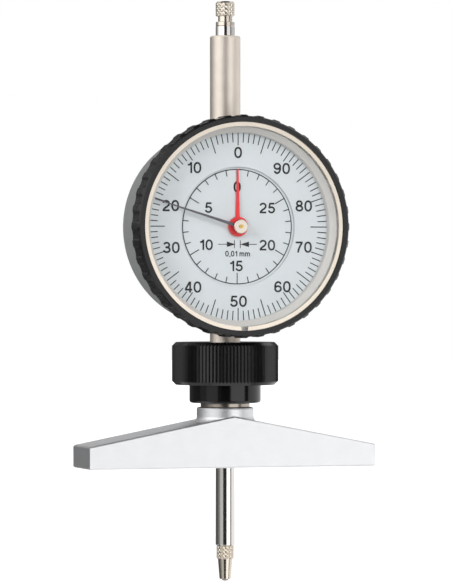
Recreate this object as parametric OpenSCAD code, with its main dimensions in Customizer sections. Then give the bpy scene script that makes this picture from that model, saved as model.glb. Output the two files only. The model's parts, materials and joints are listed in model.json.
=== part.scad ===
// Depth gauge: a 30 mm dial indicator clamped in a flat measuring bridge.
// The origin is the centre of the bridge's measuring face, on the spindle's axis.
// Z is up and the dial faces -Y. Drawn with the spindle fully extended.

/* [Bridge] */
// Length of the measuring bridge
bridge_w = 78.5; // [60:0.5:120]
// Thickness of the bridge, front to back
bridge_depth = 16; // [15.6:0.2:22]
// Height of the bridge at its two ends
bridge_end_h = 5.9; // [4:0.1:9]
// Height of the bridge at the foot of its boss
bridge_ridge_h = 13.5; // [11:0.1:18]
// Diameter of the boss at its top
boss_d = 15; // [14:0.1:15.4]
// Height of the boss above the ridge
boss_h = 2.2; // [1.5:0.1:4]
// Chamfer on the bridge's long edges
edge_chamfer = 0.35; // [0.1:0.05:0.6]

/* [Clamp] */
// Diameter of the collet's shoulder
shoulder_d = 12.9; // [12:0.1:14]
// Height of the collet's shoulder
shoulder_h = 1.1; // [0.6:0.1:2]
// Diameter of the collet's threaded body
collet_d = 11; // [10.4:0.1:11.6]
// Width of the collet's slots
collet_slot = 0.8; // [0.4:0.1:1.2]
// Diameter of the nut over its knurl
nut_d = 28; // [24:0.5:34]
// Height of the nut's knurled head
nut_head_h = 11.2; // [9:0.1:14]
// Number of ridges round the nut
nut_ridges = 90; // [60:1:120]
// Depth of the nut's knurl
nut_knurl = 0.4; // [0.2:0.05:0.6]
// Chamfer on the nut's head
nut_chamfer = 1; // [0.5:0.1:2]
// Diameter of the nut's plain collar
nut_collar_d = 18.8; // [16:0.1:21]
// Height of the nut's plain collar
nut_collar_h = 4.8; // [3:0.1:7]
// Stem that shows between the nut and the bezel
head_gap = 1.2; // [1.1:0.1:3]

/* [Stem and tube] */
// Diameter of the clamping stem and of the upper tube
stem_d = 8; // [7.8:0.1:8.2]
// Wall of the stem and the tube
stem_wall = 0.8; // [0.5:0.1:0.9]
// Length of the stem inside the collet
stem_grip = 14.8; // [10:0.1:15.6]
// Length of the upper tube outside the case
tube_h = 24.5; // [20:0.5:40]
// Length of the two guide bushes
bush_len = 10; // [6:0.5:12]

/* [Spindle] */
// Diameter of the spindle
spindle_d = 5; // [4.8:0.05:5.1]
// Travel of the spindle
travel = 30; // [20:1:30]
// Spindle that shows above the upper tube at rest
spindle_top = 2.6; // [1.5:0.1:5]
// Length of the contact point outside the spindle
contact_len = 9.4; // [8:0.1:12]
// Diameter of the contact point's knurled grip
contact_grip_d = 4.66; // [4:0.02:4.9]
// Length of the contact point's knurled grip
contact_grip_len = 3.6; // [2.5:0.1:5]
// Diameter of the ball in the contact point
ball_d = 2.5; // [1.8:0.1:2.6]
// Diameter of the lifting cap
cap_d = 5.2; // [5:0.1:8]
// Length of the lifting cap's grip
cap_grip_len = 3.9; // [3:0.1:6]
// Diameter of the neck below the lifting cap's grip
cap_neck_d = 3.7; // [3:0.1:4.2]

/* [Case] */
// Outside diameter of the case
case_d = 51.6; // [50.6:0.2:53]
// Wall of the case
case_wall = 1.5; // [1.2:0.1:1.8]
// Depth of the case behind the spindle's axis
case_back = 8; // [7.8:0.1:10]
// Thickness of the back cover
cover_t = 1.2; // [1:0.1:1.3]
// Width of the mounting flange inside the case
flange_w = 2.3; // [2.2:0.1:2.4]

/* [Bezel] */
// Outside diameter of the bezel
bezel_d = 58; // [57:0.5:62]
// Distance from the spindle's axis to the back of the bezel
bezel_back = 10.7; // [10.2:0.1:11]
// Number of scallops round the bezel
bezel_scallops = 40; // [24:1:60]
// Depth of each scallop
scallop_depth = 0.3; // [0.15:0.05:0.4]
// Thickness of the crystal
crystal_t = 1.2; // [1:0.1:1.5]
// Thickness of the snap ring that holds the crystal
snap_ring_t = 0.6; // [0.4:0.1:0.8]
// Width of the snap ring's face
snap_ring_w = 1.05; // [0.8:0.05:1.2]
// Gap between the ends of the snap ring
snap_ring_gap = 1.8; // [1:0.1:4]

/* [Dials and hands] */
// Diameter of the circle printed on the counter dial
counter_circle_d = 30.1; // [28:0.1:31]
// Thickness of both dials
dial_t = 0.5; // [0.4:0.05:0.6]
// Angle of the main pointer from the top, counter-clockwise
pointer_angle = 73; // [0:1:359]
// Width of the main pointer at its hub
pointer_w = 0.85; // [0.5:0.05:1.5]
// Width of the counter pointer at its boss
counter_w = 1.25; // [0.8:0.05:2]
// Diameter of the counter pointer's boss
counter_boss_d = 5.2; // [4:0.1:6]
// Diameter of the cap on the main pointer
pointer_cap_d = 3.7; // [3:0.1:5]

/* [Movement] */
// Pitch of the rack's teeth
rack_pitch = 0.625; // [0.625]
// Teeth of the pinion that the rack turns
rack_pinion_teeth = 16; // [16]
// Module of the drive gear and the centre pinion
gear_module = 0.2; // [0.19:0.01:0.2]
// Teeth of the drive gear and of the hairspring gear
drive_teeth = 100; // [100]
// Teeth of the centre pinion
centre_teeth = 10; // [10]
// Teeth of the counter pinion
counter_pinion_teeth = 20; // [20]
// Teeth of the counter gear
counter_gear_teeth = 60; // [60]
// Thickness of the drive gear and the hairspring gear
gear_t = 0.8; // [0.6:0.05:0.9]
// Thickness of the movement's front plate
front_plate_t = 1.2; // [1:0.1:1.3]
// Turns of the hairspring
hairspring_turns = 5; // [3:1:6]
// Turns of the return spring
return_spring_turns = 8; // [6:1:9]

/* [Clearances] */
// Radial clearance of shafts in their bushes
bush_fit = 0.02; // [0.01:0.01:0.04]
// Radial clearance of the bezel on the case
bezel_fit = 0.05; // [0.02:0.01:0.08]
// Radial clearance of the nut on the collet
nut_fit = 0.05; // [0.03:0.01:0.08]
// Gap between moving faces that don't touch
face_gap = 0.3; // [0.2:0.05:0.35]
// Backlash at the pitch line of each pair of gears
backlash = 0.04; // [0.02:0.01:0.06]

/* [Hidden] */
$fn = 96;
eps = 0.01;

// Heights on the spindle's axis, from the measuring face up.
boss_top = bridge_ridge_h + boss_h;
shoulder_top = boss_top + shoulder_h;
collar_top = shoulder_top + nut_collar_h;
nut_top = collar_top + nut_head_h;
dial_height = nut_top + head_gap + bezel_d / 2;

// Bridge.
bridge_slope = atan((bridge_ridge_h - bridge_end_h) / (bridge_w / 2));
boss_r = boss_d / 2;
boss_fillet = 1.5;
boss_foot = bridge_ridge_h - (boss_r + boss_fillet) * tan(bridge_slope) - 0.05;
boss_edge = 0.5;
rod_hole_r = spindle_d / 2 + face_gap;

// Collet and nut.
collet_socket_r = collet_d / 2 - 0.5;
collet_floor = bridge_end_h;
collet_top = nut_top - 1.8;
collet_cone_h = 3.5;
collet_cone_r = stem_d / 2 + 0.6;
collet_slots = 4;
nut_hole_r = stem_d / 2 + 0.4;
nut_roof = nut_top - 1.6;
nut_collar_edge = 0.6;

// Stems.
stem_r = stem_d / 2;
stem_bore_r = stem_r - stem_wall;
spindle_r = spindle_d / 2;
stem_lip = 1;
stem_hole_r = spindle_r + face_gap;
stem_low = nut_top - stem_grip;

// Case: radii from the dial's axis and depths in front of the spindle's axis.
case_r = case_d / 2;
case_bore_r = case_r - case_wall;
flange_r = case_bore_r - flange_w;
flange_front = stem_r + 0.3;
flange_back = -case_back + cover_t;
case_lip = 0.8;
rim_wall = 0.75;
rim_bore_r = case_r - rim_wall;
stem_seat = flange_r - 0.4;
tube_top = dial_height + case_r + tube_h;

// Movement stack, from the flange forwards.
rear_plate_t = 1;
layer_gap = 0.3;
rear_plate_front = flange_front + rear_plate_t;
drive_back = rear_plate_front + layer_gap;
drive_front = drive_back + gear_t;
counter_t = 0.6;
counter_back = drive_front + layer_gap;
counter_front = counter_back + counter_t;
hairspring_h = 0.5;
hairspring_back = counter_front + layer_gap;
hairspring_front = hairspring_back + hairspring_h;
front_plate_back = hairspring_front + layer_gap;
front_plate_front = front_plate_back + front_plate_t;

// Dials, hands and crystal.
disc_face = front_plate_front + dial_t;
ring_back = disc_face + face_gap;
ring_face = ring_back + dial_t;
disc_bore_r = 2;
ring_bore_r = counter_circle_d / 2 + 0.55;
disc_r = ring_bore_r + 1.9;
ring_r = rim_bore_r - 0.25;
reflector_wall = 0.3;
reflector_r = ring_r - reflector_wall;
rim_front = ring_face + 2.1;
seat_r = case_r + 1.25;
crystal_seat = ring_face + 3.75;
crystal_front = crystal_seat + crystal_t;
snap_front = crystal_front + snap_ring_t;
bezel_front = snap_front + 0.35;
bezel_chamfer_r = 1.2;
bezel_chamfer_d = 0.45;
counter_hand_d = ring_face;
pointer_d = ring_face + 1.4;
pointer_len = reflector_r - 0.45;
hand_t = 0.2;
hub_t = 0.6;
cap_t = 0.7;

// Rack and gear train.
rack_module = rack_pitch / PI;
rack_tip = spindle_r - 0.2;
rack_line = rack_tip - rack_module;
rack_depth = 2.25 * rack_module;
rack_pinion_r = rack_module * rack_pinion_teeth / 2;
train_distance = gear_module * (drive_teeth + centre_teeth) / 2;
counter_module = 2 * train_distance / (counter_pinion_teeth + counter_gear_teeth);
arbor_x = -(rack_line + rack_pinion_r + 0.03);
arbor_v = sqrt(train_distance * train_distance - arbor_x * arbor_x);
arbor_to_centre = atan2(-arbor_v, -arbor_x);
hair_angle = -60;
hair_x = train_distance * cos(hair_angle);
hair_v = train_distance * sin(hair_angle);
pinion_shift = 0.4;
pressure_angle = 20;
pivot_r = 0.4;
shaft_r = 0.75;
centre_shaft_r = 0.5;
cannon_r = 0.95;
bush_wall = 0.6;
wheel_rim = 1.9;
wheel_hub = 1.5;
rack_pinion_w = 2.6;

// Spindle fittings, as heights in the rest position.
guide_pin_r = 0.8;
spring_pin_r = 0.5;
spring_x = spindle_r + 2.5;
spring_r = 1.3;
spring_wire = 0.3;
spring_rest = 9;
spring_post_z = dial_height - stem_seat + spring_pin_r + face_gap;
spring_pin_z = spring_post_z + spring_rest;
guide_pin_z = spring_pin_z + 2 * guide_pin_r;
pin_sunk = 1;
spindle_end = tube_top + spindle_top;
spindle_low = -travel + contact_len;
thread_r = 1.2;
thread_len = 4;

// Guide plate, cock and screws.
guide_t = 1.4;
guide_pocket = 2.3;
guide_w = 8;
guide_tab_w = 15;
guide_tab_in = flange_r - 1.1;
guide_half_h = case_bore_r - 0.25;
guide_screw_x = guide_tab_w / 2 - 1.9;
guide_screw_v = guide_tab_in + 1.4;
guide_back = flange_back + guide_pocket - guide_t;
guide_grip = 0.6;
cock_t = 1;
cock_back = -(spindle_r + 0.2);
cock_arm = 6.5;
screw_r = 0.7;
screw_head_r = 1.2;
screw_head_h = 0.6;
slot_w = 0.35;
thread_grip = 2.2;
flange_screw_r = flange_r + 0.9;
plate_screw_angles = [0, 120, 240];
cover_screw_angles = [45, 135, 225, 315];
pillar_angles = [25, 160, 220, 345];
pillar_r = 1.25;
pillar_h = front_plate_back - rear_plate_front;
pillar_grip = 2;
pillar_at = flange_r - 1.6;
plate_r = flange_r - 0.1;

// ---- Shared forms ----

// Places a form on the dial's axis: its Z points forwards, from this depth in front of the spindle.
module dial_axis(depth = 0) {
    translate([0, -depth, dial_height]) rotate([90, 0, 0]) children();
}

// A form turned from a list of [radius, height] points.
module turned(points) {
    rotate_extrude() polygon(points);
}

module ring(outer_r, inner_r, h) {
    difference() {
        cylinder(h = h, r = outer_r);
        translate([0, 0, -eps]) cylinder(h = h + 2 * eps, r = inner_r);
    }
}

// A copy at each angle, at the same radius from the axis.
module around(angles, r) {
    for (a = angles) rotate(a) translate([r, 0, 0]) children();
}

// A slotted cheese-head screw: head up from Z = 0, shank down.
module screw(shank_len, head_r = screw_head_r, head_h = screw_head_h) {
    difference() {
        union() {
            cylinder(h = head_h, r = head_r);
            translate([0, 0, -shank_len]) cylinder(h = shank_len + eps, r = screw_r);
        }
        translate([-head_r - 1, -slot_w / 2, head_h * 0.5]) cube([2 * head_r + 2, slot_w, head_h]);
    }
}

// ---- Gear teeth ----

function polar(r, a) = [r * cos(a), r * sin(a)];
function involute(base_r, r) = let (a = acos(min(1, base_r / r))) tan(a) * 180 / PI - a;

// Half the angle that a tooth fills at radius r.
function tooth_half(n, m, shift, r) =
    let (pitch_r = m * n / 2, base_r = pitch_r * cos(pressure_angle))
    90 / n + (2 * shift * tan(pressure_angle) / n - backlash / (2 * pitch_r)) * 180 / PI
    + involute(base_r, pitch_r) - involute(base_r, max(base_r, r));

// One tooth's outline, centred on the X axis: up one flank and down the other.
function tooth(n, m, shift, steps) =
    let (
        pitch_r = m * n / 2,
        tip = pitch_r + m * (1 + shift),
        root = pitch_r - m * (1.25 - shift),
        start = max(root, pitch_r * cos(pressure_angle)),
        radii = [for (i = [0 : steps]) start + (tip - start) * i / steps]
    )
    concat(
        [polar(root, -tooth_half(n, m, shift, start))],
        [for (r = radii) if (r > root + eps) polar(r, -tooth_half(n, m, shift, r))],
        [for (i = [steps : -1 : 0]) if (radii[i] > root + eps) polar(radii[i], tooth_half(n, m, shift, radii[i]))],
        [polar(root, tooth_half(n, m, shift, start))]
    );

function turn(p, a) = [p[0] * cos(a) - p[1] * sin(a), p[0] * sin(a) + p[1] * cos(a)];
function gear_outline(n, m, shift, steps) =
    let (one = tooth(n, m, shift, steps))
    [for (i = [0 : n - 1]) for (p = one) turn(p, 360 * i / n)];

module gear(n, m, h, bore_r, shift = 0, steps = 2) {
    difference() {
        linear_extrude(h) polygon(gear_outline(n, m, shift, steps));
        translate([0, 0, -eps]) cylinder(h = h + 2 * eps, r = bore_r);
    }
}

// Windows that lighten a wheel: its rim, its hub and this many arms stay.
module wheel_windows(pitch_r, hole_r, h, arms) {
    arm_w = 1.3;
    outer_r = pitch_r - wheel_rim;
    inner_r = hole_r + wheel_hub;
    difference() {
        translate([0, 0, -eps]) ring(outer_r, inner_r, h + 2 * eps);
        for (i = [0 : arms - 1])
            rotate(360 * i / arms) translate([0, -arm_w / 2, -1]) cube([outer_r + 1, arm_w, h + 2]);
    }
}

// Angles that put the teeth in mesh: a tooth of one gear faces a gap of the other.
drive_turn = arbor_to_centre;
centre_turn = arbor_to_centre + 180 + 180 / centre_teeth;
centre_pitch = 360 / centre_teeth;
hair_offset = centre_turn - hair_angle - centre_pitch * floor((centre_turn - hair_angle) / centre_pitch);
hair_turn = hair_angle + 180 - hair_offset * centre_teeth / drive_teeth + 180 / drive_teeth;
counter_turn = arbor_to_centre + 180 + 180 / counter_gear_teeth;
rack_pinion_turn = 180 / rack_pinion_teeth;

// ---- Bridge and clamp ----

module bridge_bar() {
    half_w = bridge_w / 2;
    c = edge_chamfer;
    side = [
        [-half_w + c, 0], [half_w - c, 0], [half_w, c], [half_w, bridge_end_h - c],
        [half_w - c, bridge_end_h + c * tan(bridge_slope)], [0, bridge_ridge_h],
        [-half_w + c, bridge_end_h + c * tan(bridge_slope)], [-half_w, bridge_end_h - c], [-half_w, c]
    ];
    half_d = bridge_depth / 2;
    top = bridge_ridge_h + 1;
    section = [[-half_d + c, 0], [half_d - c, 0], [half_d, c], [half_d, top], [-half_d, top], [-half_d, c]];
    difference() {
        intersection() {
            rotate([90, 0, 0]) linear_extrude(bridge_depth, center = true) polygon(side);
            rotate([90, 0, 90]) linear_extrude(bridge_w, center = true) polygon(section);
        }
        for (sx = [-1, 1]) for (sy = [-1, 1])
            translate([sx * half_w, sy * half_d, bridge_end_h]) rotate([0, sx * bridge_slope, 0])
                rotate([45, 0, 0]) cube([2 * bridge_w, c * sqrt(2), c * sqrt(2)], center = true);
    }
}

// The hollow curve at the boss's foot, from the bridge's slope up to the boss.
boss_curve = [for (i = [0 : 5]) let (a = 90 * i / 5)
    [boss_r - eps + boss_fillet * (1 - sin(a)), boss_foot + boss_fillet * (1 - cos(a))]];

module bridge() color("gainsboro") difference() {
    union() {
        bridge_bar();
        turned([
            [0, bridge_end_h], [boss_r, bridge_end_h], [boss_r, boss_top - boss_edge],
            [boss_r - 0.3 * boss_edge, boss_top - 0.3 * boss_edge], [boss_r - boss_edge, boss_top], [0, boss_top]
        ]);
        intersection() {
            turned(concat([[0, bridge_end_h], [boss_r + boss_fillet - eps, bridge_end_h]], boss_curve,
                [[0, boss_foot + boss_fillet]]));
            cube([4 * boss_r, boss_r + bridge_depth / 2, 4 * boss_top], center = true);
        }
    }
    translate([0, 0, -1]) cylinder(h = boss_top, r = rod_hole_r);
    translate([0, 0, collet_floor]) cylinder(h = boss_top, r = collet_socket_r);
}

module collet() color("silver") difference() {
    turned([
        [stem_r + bush_fit, collet_floor], [collet_socket_r, collet_floor], [collet_socket_r, boss_top],
        [shoulder_d / 2 - 0.15, boss_top], [shoulder_d / 2, boss_top + 0.15],
        [shoulder_d / 2, shoulder_top - 0.15], [shoulder_d / 2 - 0.15, shoulder_top],
        [collet_d / 2, shoulder_top], [collet_d / 2, collet_top - collet_cone_h],
        [collet_cone_r, collet_top], [stem_r + bush_fit, collet_top]
    ]);
    for (i = [0 : collet_slots / 2 - 1])
        rotate(45 + 360 * i / collet_slots) translate([-collet_d, -collet_slot / 2, shoulder_top + 2])
            cube([2 * collet_d, collet_slot, collet_top]);
}

function knurl_outline(r, ridges, depth) =
    [for (i = [0 : 2 * ridges - 1]) polar(r - depth * (i % 2), 180 * i / ridges)];

module clamp_nut() color("#1c1c1e") difference() {
    union() {
        intersection() {
            translate([0, 0, collar_top]) linear_extrude(nut_head_h)
                polygon(knurl_outline(nut_d / 2, nut_ridges, nut_knurl));
            turned([
                [0, collar_top], [nut_d / 2 - nut_chamfer, collar_top], [nut_d / 2 + 1, collar_top + nut_chamfer + 1],
                [nut_d / 2 + 1, nut_top - nut_chamfer - 1], [nut_d / 2 - nut_chamfer, nut_top], [0, nut_top]
            ]);
        }
        turned([
            [0, shoulder_top + nut_fit], [nut_collar_d / 2 - nut_collar_edge, shoulder_top + nut_fit],
            [nut_collar_d / 2 - 0.3 * nut_collar_edge, shoulder_top + nut_fit + 0.3 * nut_collar_edge],
            [nut_collar_d / 2, shoulder_top + nut_fit + nut_collar_edge], [nut_collar_d / 2, collar_top + eps],
            [0, collar_top + eps]
        ]);
    }
    turned([
        [0, shoulder_top - 1], [collet_d / 2 + nut_fit, shoulder_top - 1],
        [collet_d / 2 + nut_fit, collet_top - collet_cone_h], [collet_cone_r + nut_fit, collet_top],
        [collet_cone_r + nut_fit, nut_roof], [nut_hole_r, nut_roof], [nut_hole_r, nut_top + 1], [0, nut_top + 1]
    ]);
}

// ---- Case, stem and tube ----

wire_r = 0.25;
wire_d = rim_front - 1.1;

module case() color("gray") difference() {
    dial_axis() turned([
        [case_r - 0.5, -case_back], [case_r, 0.5 - case_back], [case_r, wire_d - 0.3],
        [case_r - 0.3, wire_d - 0.3], [case_r - 0.3, wire_d + 0.3], [case_r, wire_d + 0.3],
        [case_r, rim_front - 0.2], [case_r - 0.2, rim_front], [rim_bore_r, rim_front],
        [rim_bore_r, ring_back - face_gap], [case_bore_r, ring_back - face_gap], [case_bore_r, flange_front],
        [flange_r, flange_front], [flange_r, flange_back], [case_r - case_lip, flange_back],
        [case_r - case_lip, -case_back]
    ]);
    translate([0, 0, dial_height - 2 * case_r]) cylinder(h = 4 * case_r, r = stem_r);
    dial_axis() {
        intersection() {
            translate([0, 0, flange_back - 1]) cylinder(h = guide_pocket + 1, r = case_bore_r);
            translate([0, 0, flange_back - 1]) guide_tabs(guide_tab_w + 0.2, case_r, guide_pocket + 1);
        }
        around(plate_screw_angles, flange_screw_r)
            translate([0, 0, flange_front - thread_grip - face_gap]) cylinder(h = thread_grip + 1, r = screw_r);
        around(cover_screw_angles, flange_screw_r)
            translate([0, 0, flange_back - 1]) cylinder(h = thread_grip + face_gap + 1, r = screw_r);
        guide_screw_places()
            translate([0, 0, flange_back + guide_pocket - 1]) cylinder(h = guide_grip + 1.2, r = screw_r);
    }
}

module back_cover() color("gray") dial_axis() difference() {
    turned([
        [0, -case_back], [case_r - case_lip - 0.35, -case_back], [case_r - case_lip - 0.05, 0.3 - case_back],
        [case_r - case_lip - 0.05, flange_back], [0, flange_back]
    ]);
    around(cover_screw_angles, flange_screw_r) {
        translate([0, 0, -case_back - 1]) cylinder(h = 1 + screw_head_h, r = screw_head_r + 0.1);
        translate([0, 0, -case_back]) cylinder(h = cover_t + 1, r = screw_r);
    }
}

module back_cover_screws() color("silver") dial_axis() around(cover_screw_angles, flange_screw_r)
    translate([0, 0, -case_back + screw_head_h]) mirror([0, 0, 1]) screw(cover_t - screw_head_h + thread_grip);

module lower_stem() color("silver") turned([
    [stem_hole_r, stem_low], [stem_r - 0.3, stem_low], [stem_r, stem_low + 0.3],
    [stem_r, dial_height - stem_seat], [stem_bore_r, dial_height - stem_seat],
    [stem_bore_r, stem_low + stem_lip], [stem_hole_r, stem_low + stem_lip]
]);

module guide_bush(z) {
    translate([0, 0, z]) ring(stem_bore_r, spindle_r + bush_fit, bush_len);
}

module lower_bush() color("goldenrod") guide_bush(stem_low + stem_lip);

module upper_tube() color("silver") turned([
    [stem_bore_r, dial_height + stem_seat], [stem_r, dial_height + stem_seat], [stem_r, tube_top - 0.5],
    [stem_r - 0.15, tube_top - 0.15], [stem_r - 0.5, tube_top], [stem_hole_r, tube_top],
    [stem_hole_r, tube_top - stem_lip], [stem_bore_r, tube_top - stem_lip]
]);

module upper_bush() color("goldenrod") guide_bush(tube_top - stem_lip - bush_len);

// ---- Spindle ----

// Everything to the left of the rack's teeth, as a flat outline in X and Z.
function rack_cut(z_low, count, x_far) =
    let (
        half_tip = rack_pitch / 4 - rack_module * tan(pressure_angle) - backlash / 4,
        half_root = rack_pitch / 4 + (rack_depth - rack_module) * tan(pressure_angle) - backlash / 4
    )
    concat(
        [[-x_far, z_low - rack_pitch / 2]],
        [for (i = [0 : count]) for (p = [[-rack_tip + rack_depth, -rack_pitch + half_root],
            [-rack_tip + rack_depth, -half_root], [-rack_tip, -half_tip], [-rack_tip, half_tip]])
            if (i > 0 || p[1] > -rack_pitch / 2) if (i < count || p[1] < -rack_pitch / 2)
                [p[0], z_low + i * rack_pitch + p[1]]],
        [[-x_far, z_low + (count - 0.5) * rack_pitch]]
    );

rack_spare = 3;
rack_teeth = ceil(travel / rack_pitch) + 2 * rack_spare;
rack_low = dial_height + arbor_v - (rack_teeth - rack_spare) * rack_pitch;

module spindle() color("silver") difference() {
    turned([
        [0, spindle_low], [spindle_r - 0.15, spindle_low], [spindle_r, spindle_low + 0.15],
        [spindle_r, spindle_end - 0.15], [spindle_r - 0.15, spindle_end], [0, spindle_end]
    ]);
    rotate([90, 0, 0]) linear_extrude(spindle_d + 2, center = true)
        polygon(rack_cut(rack_low, rack_teeth, spindle_d));
    translate([0, 0, spindle_low - 1]) cylinder(h = thread_len + 1, r = thread_r);
    translate([0, 0, spindle_end - thread_len]) cylinder(h = thread_len + 1, r = thread_r);
    translate([0, pin_sunk, guide_pin_z]) rotate([-90, 0, 0]) cylinder(h = spindle_d, r = guide_pin_r);
    translate([pin_sunk, 0, spring_pin_z]) rotate([0, 90, 0]) cylinder(h = spindle_d, r = spring_pin_r);
}

module guide_pin() color("silver") translate([0, pin_sunk, guide_pin_z]) rotate([-90, 0, 0])
    cylinder(h = -guide_back - pin_sunk - 0.2, r = guide_pin_r);

module spring_pin() color("silver") translate([pin_sunk, 0, spring_pin_z]) rotate([0, 90, 0])
    cylinder(h = spring_x - pin_sunk + spring_r, r = spring_pin_r);

module lifting_cap() color("wheat") {
    neck_low = spindle_end + 1.1;
    neck_top = neck_low + 1.5;
    cap_top = neck_top + cap_grip_len;
    turned([
        [0, spindle_end - thread_len + 0.3], [thread_r, spindle_end - thread_len + 0.3], [thread_r, spindle_end],
        [spindle_r - 0.15, spindle_end], [spindle_r - 0.05, spindle_end + 0.1], [spindle_r - 0.05, neck_low - 0.1],
        [spindle_r - 0.15, neck_low], [cap_neck_d / 2, neck_low], [cap_neck_d / 2, neck_top],
        [cap_d / 2 - 0.15, neck_top], [cap_d / 2, neck_top + 0.15], [cap_d / 2, cap_top - 0.4],
        [cap_d / 2 - 0.4, cap_top], [0, cap_top]
    ]);
}

contact_taper_r = 1.9;
contact_end_r = 1.475;
contact_end = -travel + 0.55;

module contact_point() color("wheat") difference() {
    turned([
        [0, spindle_low + thread_len - 0.3], [thread_r, spindle_low + thread_len - 0.3], [thread_r, spindle_low],
        [contact_grip_d / 2 - 0.2, spindle_low], [contact_grip_d / 2, spindle_low - 0.2],
        [contact_grip_d / 2, spindle_low - contact_grip_len + 0.2],
        [contact_grip_d / 2 - 0.2, spindle_low - contact_grip_len],
        [contact_taper_r, spindle_low - contact_grip_len], [contact_end_r, contact_end], [0, contact_end]
    ]);
    translate([0, 0, contact_end - 1]) cylinder(h = 1 + ball_d * 0.8, r = ball_d / 2);
}

module contact_ball() color("lightgray") translate([0, 0, ball_d / 2 - travel]) sphere(r = ball_d / 2);

// ---- Guide plate, cock and return spring ----

module guide_screw_places() {
    for (sx = [-1, 1]) for (sv = [-1, 1]) translate([sx * guide_screw_x, sv * guide_screw_v, 0]) children();
}

// The wide ends of the guide plate, above and below, out to this distance from the dial's axis.
module guide_tabs(w, reach, h) {
    for (s = [0, 1]) mirror([0, s, 0]) translate([-w / 2, guide_tab_in, 0]) cube([w, reach - guide_tab_in, h]);
}

module guide_plate() color("silver") dial_axis(guide_back) difference() {
    intersection() {
        cylinder(h = guide_t, r = case_bore_r - 0.05);
        union() {
            translate([-guide_w / 2, -guide_half_h, 0]) cube([guide_w, 2 * guide_half_h, guide_t]);
            guide_tabs(guide_tab_w, guide_half_h, guide_t);
        }
    }
    slot_low = guide_pin_z - dial_height - guide_pin_r - face_gap;
    slot_len = travel + 2 * (guide_pin_r + face_gap);
    translate([-guide_pin_r - bush_fit, slot_low, -1]) cube([2 * (guide_pin_r + bush_fit), slot_len, guide_t + 2]);
    guide_screw_places() translate([0, 0, -1]) cylinder(h = guide_t + 2, r = screw_r);
}

module guide_plate_screws() color("silver") dial_axis(guide_back)
    guide_screw_places() mirror([0, 0, 1]) screw(guide_t + guide_grip);

module pinion_cock() color("goldenrod") dial_axis() translate([arbor_x, arbor_v, 0]) difference() {
    union() {
        translate([0, 0, cock_back - cock_t]) cylinder(h = cock_t, r = 1.7);
        translate([-cock_arm, -1.7, cock_back - cock_t]) cube([cock_arm, 3.4, cock_t]);
        translate([-cock_arm, 0, cock_back - cock_t]) cylinder(h = flange_front - cock_back + cock_t, r = 2.4);
    }
    translate([0, 0, cock_back - cock_t - 1]) cylinder(h = cock_t + 2, r = pivot_r + bush_fit + bush_wall);
    translate([-cock_arm, 0, cock_back - cock_t - 1]) cylinder(h = case_r, r = screw_r);
}

module cock_screw() color("silver") dial_axis(cock_back - cock_t) translate([arbor_x - cock_arm, arbor_v, 0])
    mirror([0, 0, 1]) screw(flange_front - cock_back + cock_t + rear_plate_t - 0.1);

module spring_post() color("silver") dial_axis(-spring_r)
    translate([spring_x, spring_post_z - dial_height, 0]) cylinder(h = flange_front + spring_r, r = spring_pin_r);

// The spring's centre line: a straight tail, coils with an eighth of a turn between rings, a straight tail.
spring_steps = 8;
spring_low = spring_post_z + spring_pin_r;
spring_high = spring_pin_z - spring_pin_r;
spring_tail = 0.9;
coil_len = spring_high - spring_low - 2 * spring_tail;
coil_rings = return_spring_turns * spring_steps;
spring_path = concat(
    [[0, 0, spring_low], [0, 0, spring_low + 0.35]],
    [for (i = [0 : coil_rings]) let (a = 360 * i / spring_steps)
        [spring_r * cos(a), spring_r * sin(a), spring_low + spring_tail + coil_len * i / coil_rings]],
    [[0, 0, spring_high - 0.35], [0, 0, spring_high]]
);

// The least gap between the spring's coils, measured on points at least half a turn apart.
spring_gap = min([for (i = [0 : len(spring_path) - 1]) for (j = [i + spring_steps / 2 : 1 : len(spring_path) - 1])
    norm(spring_path[i] - spring_path[j])]) - spring_wire;
echo(spring_gap = spring_gap);

function unit(v) = v / norm(v);
function along(path, i) = unit(path[min(i + 1, len(path) - 1)] - path[max(i - 1, 0)]);

// A tube of this radius and number of sides round a path that starts and ends along Z.
module swept_tube(path, r, sides) {
    rings = [for (i = [0 : len(path) - 1])
        let (t = along(path, i), u = unit(cross(t, abs(t[2]) > 0.99 ? [0, 1, 0] : [0, 0, 1])), w = cross(t, u))
        for (k = [0 : sides - 1]) path[i] + r * (cos(360 * k / sides) * u + sin(360 * k / sides) * w)];
    last = (len(path) - 1) * sides;
    walls = [for (i = [0 : len(path) - 2]) for (k = [0 : sides - 1])
        let (a = i * sides + k, b = i * sides + (k + 1) % sides)
        for (f = [[a, a + sides, b + sides], [a, b + sides, b]]) f];
    ends = [
        for (k = [1 : sides - 2]) for (f = [[0, k, k + 1], [last, last + k + 1, last + k]]) f
    ];
    polyhedron(points = rings, faces = concat(walls, ends), convexity = 10);
}

module return_spring() color("dimgray") translate([spring_x, 0, 0]) swept_tube(spring_path, spring_wire / 2, 6);

// ---- Movement plates ----

module rear_plate() color("goldenrod") dial_axis(flange_front) difference() {
    cylinder(h = rear_plate_t, r = case_bore_r - 0.1);
    arbor_holes(rear_plate_t, true);
    around(plate_screw_angles, flange_screw_r) translate([0, 0, -1]) cylinder(h = rear_plate_t + 2, r = screw_r);
    translate([arbor_x - cock_arm, arbor_v, -1]) cylinder(h = rear_plate_t + 2, r = screw_r);
}

// Holes for the bushes of the three arbors; the rear plate lets the rack pinion through.
module arbor_holes(t, rear) {
    small = pivot_r + bush_fit + bush_wall;
    translate([0, 0, -1]) cylinder(h = t + 2, r = rear ? small : cannon_r + bush_fit + bush_wall);
    translate([hair_x, hair_v, -1]) cylinder(h = t + 2, r = small);
    translate([arbor_x, arbor_v, -1]) cylinder(h = t + 2, r = rear ? rack_pinion_r + rack_module + 0.3 : small);
}

module rear_plate_screws() color("silver") dial_axis(rear_plate_front)
    around(plate_screw_angles, flange_screw_r) screw(rear_plate_t + thread_grip);

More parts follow.
